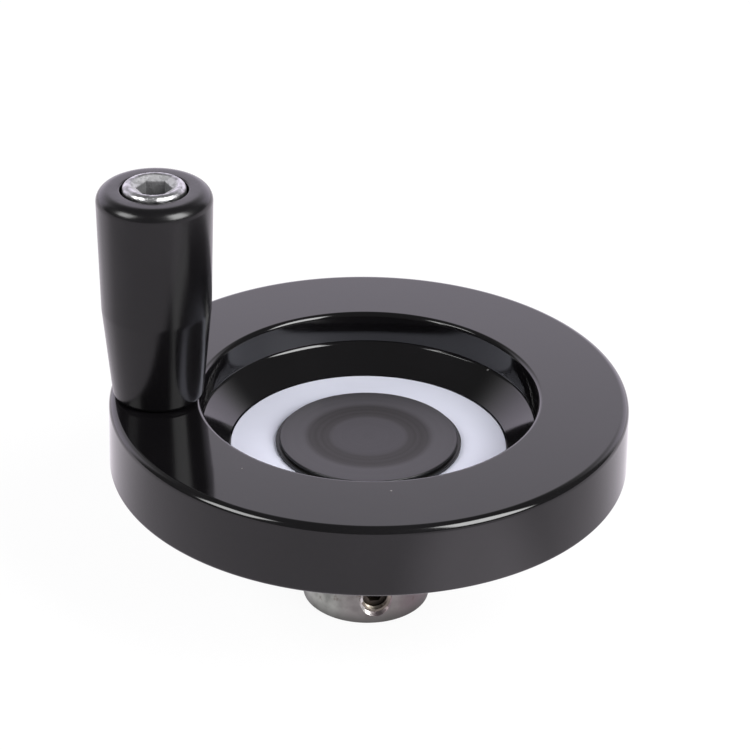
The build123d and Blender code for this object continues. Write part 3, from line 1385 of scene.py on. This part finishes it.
@dataclass
class Handle:
    """The revolving grip, the pin that holds it and the bush in the rim."""

    thread_diameter: float = 8.0
    tip_chamfer: float = 0.8
    shank_diameter: float = 9.0
    head_rounding: float = 1.1
    head_play: float = 0.3
    socket: float = 6.1
    socket_depth: float = 5.0
    socket_turn: float = -2.0
    funnel_diameter: float = 9.3
    funnel_floor_diameter: float = 6.6
    funnel_depth: float = 0.8
    funnel_rounding: float = 0.9
    foot_diameter: float = 17.3
    foot_rounding: float = 1.2
    waist_diameter: float = 20.9
    waist_height: float = 18.65
    waist_rounding: float = 10.0
    top_diameter: float = 22.0
    top_rounding: float = 2.45
    mouth_diameter: float = 12.8
    mouth_depth: float = 5.2
    mouth_rounding: float = 0.4
    running_clearance: float = 0.07
    bore_chamfer: float = 0.5

    def __post_init__(self) -> None:
        """Reads where the handle stands."""
        self.pin_extent = Extent.of("handle_pin")
        self.grip_extent = Extent.of("handle_grip")
        self.axis_x = self.pin_extent.axis_x

    def pin(self) -> Piece:
        """Makes the shouldered pin with its socket head.

        Returns:
            The pin.
        """
        foot, top = self.pin_extent.low.z, self.pin_extent.high.z
        seat = self.grip_extent.low.z
        head_seat = self.grip_extent.high.z - self.mouth_depth + self.head_play
        head, thread, shank = self.pin_extent.radius, self.thread_diameter / 2, self.shank_diameter / 2
        funnel_floor = top - self.funnel_depth
        piece = Lathe(self.axis_x).turn(
            "socket_head_pin",
            Corner(0, foot),
            Corner(thread - self.tip_chamfer, foot),
            Corner(thread, foot + self.tip_chamfer),
            Corner(thread, seat),
            Corner(shank, seat),
            Corner(shank, head_seat),
            Corner(head, head_seat),
            Corner(head, top, self.head_rounding),
            Corner(self.funnel_diameter / 2, top, self.funnel_rounding),
            Corner(self.funnel_floor_diameter / 2, funnel_floor),
            Corner(0, funnel_floor),
        )
        key = hexagon("key", self.socket, 2 * self.socket_depth)
        swing(key, self.socket_turn, Axis.Z)
        shift(key, x=self.axis_x, z=top - self.socket_depth)
        cut(piece, key)
        return piece

    def grip(self) -> Piece:
        """Turns the grip.

        Returns:
            The grip.
        """
        foot, end = self.grip_extent.low.z, self.grip_extent.high.z
        bore = self.shank_diameter / 2 + self.running_clearance
        mouth, mouth_floor = self.mouth_diameter / 2, end - self.mouth_depth
        return Lathe(self.axis_x).turn(
            "revolving_grip",
            Corner(bore + self.bore_chamfer, foot),
            Corner(self.foot_diameter / 2, foot, self.foot_rounding),
            Corner(self.waist_diameter / 2, foot + self.waist_height, self.waist_rounding),
            Corner(self.top_diameter / 2, end, self.top_rounding),
            Corner(mouth, end, self.mouth_rounding),
            Corner(mouth, mouth_floor),
            Corner(bore, mouth_floor),
            Corner(bore, foot + self.bore_chamfer),
        )

    def build(self) -> None:
        """Builds and dresses the pin and the grip, and gives the bush its brass."""
        centre = (self.axis_x, 0, self.grip_extent.high.z)
        plate = ForgedPlate(
            name="forged_zinc_plate",
            centre=centre,
            funnel=self.funnel_diameter / 2,
            funnel_floor=self.pin_extent.high.z - self.funnel_depth - self.grip_extent.high.z,
        )
        black = GlossyMoulding(
            name="grip_phenolic",
            centre=centre,
            roughness=0.2,
            dust=0.05,
            gloss=1.45,
            grain=(1, 1, 0.06),
            waviness=0.014,
        )
        brass = TurnedMetal(
            name="turned_brass",
            colour=(0.72, 0.55, 0.26),
            roughness=0.25,
            stain=(0.3, 0.2, 0.08),
            stained=0.2,
        )
        settle(self.pin(), Slot.PLATED, "handle_pin", plate)
        settle(self.grip(), Slot.GRIP, "handle_grip", black, body=Body.GRIP)
        coat(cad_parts["handle_bush"], brass)


# --- Studio ---------------------------------------------------------------------


def direction(azimuth: float, elevation: float) -> Vector:
    """Gives the way out from the object at an azimuth and an elevation.

    Args:
        azimuth: Degrees round from the -Y side, towards +X.
        elevation: Degrees above the horizon.

    Returns:
        A vector one long.
    """
    a, e = math.radians(azimuth), math.radians(elevation)
    return Vector((math.sin(a) * math.cos(e), -math.cos(a) * math.cos(e), math.sin(e)))


def add_object(name: str, data: bpy.types.ID) -> Piece:
    """Puts a lamp or a camera in the scene.

    Args:
        name: The object's name.
        data: The lamp's or camera's settings.

    Returns:
        The object.
    """
    made = bpy.data.objects.new(name, data)
    bpy.context.scene.collection.objects.link(made)
    return made


@dataclass(frozen=True)
class Lamp:
    """A rectangular softbox that faces the object and fades towards its edges.

    Attributes:
        name: Its name.
        azimuth: Degrees round from the -Y side, towards +X.
        elevation: Degrees above the rim's top.
        width: Metres across.
        height: Metres up.
        glow: How bright its middle is, where a white background is 1.
        distance: Metres from the object.
        fade: Share of the way from its edge to its middle in which it fades.
        taper: How much narrower its top is than its foot: 0 gives the same width.
        squareness: 2 gives an oval, and more gives squarer corners.
    """

    name: str
    azimuth: float
    elevation: float
    width: float
    height: float
    glow: float
    distance: float = 1.3
    fade: float = 0.4
    taper: float = 0.0
    squareness: float = 5.0

    def place(self, target: Vector) -> None:
        """Sets the lamp up.

        Args:
            target: The point that it faces, in metres.
        """
        data = bpy.data.lights.new(self.name, "AREA")
        data.shape = "RECTANGLE"
        data.size, data.size_y = self.width, self.height
        data.energy = self.glow * self.width * self.height * math.pi
        self.soften(data)
        lamp = add_object(self.name, data)
        back = direction(self.azimuth, self.elevation)
        lamp.location = target + back * self.distance
        lamp.rotation_euler = (-back).to_track_quat("-Z", "Y").to_euler()
        lamp.visible_camera = False

    def soften(self, data: bpy.types.Light) -> None:
        """Makes the lamp fade towards its edges.

        Args:
            data: The lamp's settings.
        """
        data.use_nodes = True
        graph = Graph(data.node_tree)
        spot = graph.node("SeparateXYZ", {0: graph.node("NewGeometry").outputs["Parametric"]}).outputs
        widening = graph.math("MULTIPLY_ADD", spot["Y"], self.taper, 1)
        powers = []
        for axis, scale in (("X", widening), ("Y", 1)):
            off = graph.math("MULTIPLY", graph.math("MULTIPLY_ADD", spot[axis], 2, -1), scale)
            powers.append(graph.math("POWER", graph.math("ABSOLUTE", off), self.squareness))
        start = (1 - self.fade) ** self.squareness
        glow = graph.ramp(graph.math("ADD", *powers), start, 1, 1, 0)
        graph.feed(glow, data.node_tree.nodes["Emission"].inputs["Strength"])


@dataclass(frozen=True)
class Viewpoint:
    """The camera: where it stands, and where the picture shows the rim's middle.

    Attributes:
        focal_length: In millimetres.
        sensor: The sensor's width, in millimetres.
        distance: Millimetres from the lens to the middle of the rim's front face.
        azimuth: Degrees round from the -Y side, towards +X.
        elevation: Degrees above the horizon.
        roll: Degrees that the camera is rolled.
        picture: The picture's width and height, in pixels.
        middle: The pixel that shows the middle of the rim's front face.
        nearest: Metres from the lens at which it starts to see.
        farthest: Metres from the lens at which it stops.
    """

    focal_length: float = 144.0
    sensor: float = 36.0
    distance: float = 578.09
    azimuth: float = -1.9
    elevation: float = 29.31
    roll: float = 1.0
    picture: int = 750
    middle: tuple[float, float] = (369.3, 392.45)
    nearest: float = 0.01
    farthest: float = 100.0

    def place(self, target: Vector) -> None:
        """Sets the camera up.

        Args:
            target: The middle of the rim's front face, in metres.
        """
        focal = self.focal_length / self.sensor * self.picture
        aside, below = (math.atan2(pixel - self.picture / 2, focal) for pixel in self.middle)
        turn = (
            Matrix.Rotation(math.radians(self.azimuth), 4, "Z")
            @ Matrix.Rotation(math.pi / 2 - math.radians(self.elevation), 4, "X")
            @ Matrix.Rotation(math.radians(self.roll), 4, "Z")
            @ Matrix.Rotation(below, 4, "X")
            @ Matrix.Rotation(aside, 4, "Y")
        )
        data = bpy.data.cameras.new("camera")
        data.lens, data.sensor_width = self.focal_length, self.sensor
        data.clip_start, data.clip_end = self.nearest, self.farthest
        camera = add_object("camera", data)
        back = direction(self.azimuth, self.elevation)
        camera.matrix_world = Matrix.Translation(target + back * self.distance * MM) @ turn
        bpy.context.scene.camera = camera


@dataclass
class Studio:
    """The floor, the white sweep behind it, the lamps and the camera.

    Attributes:
        floor_size: Metres along each side of the floor.
        floor_colour: Its colour.
        white_share: How much of it is plain white, with no shadow, where it is looked at.
        white: How bright that white is.
        floor_shine: How bright its white is in a reflection, in front.
        back_shine: How bright it is in a reflection, behind the object.
        shine_reach: Where it changes from one to the other along Y, in millimetres.
        floor_tint: Its tint in a reflection.
        pool: Where a painted pool of light lies on the floor, seen in reflections, in millimetres.
        pool_radii: Where that place starts and is full, in millimetres from its middle.
        pool_shine: How much brighter it is there in a reflection.
        sky: How bright the dim room is.
        sweep: How bright the white sweep behind the object is.
        sweep_turn: Degrees from +Y, towards -X, that its middle stands.
        sweep_sides: How far round to the back its sides start and are full, up to 1.
        sweep_top: How far up it starts to fade and ends, up to 1.
        sweep_colour: Its tint.
    """

    floor_size: float = 12.0
    floor_colour: Colour = (0.8, 0.8, 0.8)
    white_share: float = 0.88
    white: float = 1.04
    floor_shine: float = 0.77
    back_shine: float = 1.12
    shine_reach: tuple[float, float] = (-10, 50)
    floor_tint: Colour = (1.03, 0.96, 1.05)
    pool: Place = (58, -84, 0)
    pool_radii: tuple[float, float] = (55, 15)
    pool_shine: float = 0.8
    sky: float = 0.16
    sweep: float = 1.72
    sweep_turn: float = 4.0
    sweep_sides: tuple[float, float] = (0.34, 0.64)
    sweep_top: tuple[float, float] = (0.36, 0.8)
    sweep_colour: Colour = (1.0, 0.93, 1.08)
    viewpoint: Viewpoint = Viewpoint()
    lamps: tuple[Lamp, ...] = (
        Lamp(name="left_lamp", azimuth=-64, elevation=36, width=0.68, height=0.72, glow=9.2),
        Lamp(name="right_lamp", azimuth=52, elevation=37, width=1.12, height=1.08, glow=11.8, taper=0.8),
    )

    def floor(self) -> None:
        """Lays the plain floor, which is mostly white where it is looked at."""
        floor = primitive("studio_floor", bpy.ops.mesh.primitive_plane_add, size=self.floor_size)
        surface = Surface("studio_white", self.pool)
        surface.tree.nodes.remove(surface.shader)
        rays = surface.node("LightPath").outputs
        mirrored = rays["Is Glossy Ray"]
        seen = surface.math("MAXIMUM", rays["Is Camera Ray"], mirrored)
        seen = surface.math("MAXIMUM", seen, rays["Is Transmission Ray"])
        edge, core = (radius * MM for radius in self.pool_radii)
        # painted pool of light on the floor, seen only in reflections
        pool = surface.ramp(surface.radius(), edge, core, 0, self.pool_shine)
        front, back = (place * MM - self.pool[1] * MM for place in self.shine_reach)
        depth = surface.coordinate(Axis.Y, surface.place)
        dimmer, brighter = self.floor_shine - self.white, self.back_shine - self.white
        shine = surface.math("ADD", pool, surface.ramp(depth, front, back, dimmer, brighter))
        white = surface.math("MULTIPLY_ADD", shine, mirrored, self.white)
        tint = surface.layers(WHITE, (mirrored, self.floor_tint))
        share = surface.math("MULTIPLY", seen, self.white_share)
        matt = surface.node("BsdfDiffuse", {"Color": self.floor_colour})
        glow = surface.node("Emission", {"Color": tint, "Strength": white})
        mixed = surface.node("MixShader", {0: share, 1: matt.outputs[0], 2: glow.outputs[0]})
        surface.feed(mixed.outputs[0], surface.tree.nodes["Material Output"].inputs["Surface"])
        floor.data.materials.append(surface.material)

    def world(self) -> None:
        """Sets a dim room with a white sweep behind the object, all white to the camera."""
        world = bpy.data.worlds.new("studio_room")
        bpy.context.scene.world = world
        world.use_nodes = True
        graph = Graph(world.node_tree)
        turn = {
            "Vector": graph.node("TexCoord").outputs["Generated"],
            "Angle": -math.radians(self.sweep_turn),
        }
        way = graph.node("VectorRotate", turn, rotation_type="Z_AXIS").outputs[0]
        level = graph.vector("NORMALIZE", graph.vector("MULTIPLY", way, FLAT))
        behind = graph.ramp(graph.coordinate(Axis.Y, level), *self.sweep_sides, 0, 1)
        low = graph.ramp(graph.coordinate(Axis.Z, way), *self.sweep_top, 1, 0)
        sweep = graph.math("MULTIPLY", behind, low)
        lit = graph.math("MULTIPLY_ADD", sweep, self.sweep - self.sky, self.sky)
        camera = graph.node("LightPath").outputs["Is Camera Ray"]
        tinted = graph.math("MULTIPLY", sweep, graph.math("SUBTRACT", 1, camera))
        shader = world.node_tree.nodes["Background"]
        graph.feed(graph.math("MAXIMUM", camera, lit), shader.inputs["Strength"])
        graph.feed(graph.layers(WHITE, (tinted, self.sweep_colour)), shader.inputs["Color"])

    def build(self) -> None:
        """Builds the studio."""
        target = Vector((0, 0, Extent.of("wheel_body").high.z)) * MM
        self.floor()
        self.world()
        for lamp in self.lamps:
            lamp.place(target)
        self.viewpoint.place(target)
        bpy.context.scene.view_settings.view_transform = "Standard"


def main() -> None:
    """Builds the handwheel and its studio."""
    logging.basicConfig(level=logging.INFO, format="%(name)s: %(message)s")
    hub = Hub()
    Wheel().build(hub.blank())
    for assembly in (hub, Dial(), Handle(), Studio()):
        assembly.build()
        log.info("%s is built", type(assembly).__name__)


if __name__ == "__main__":
    main()
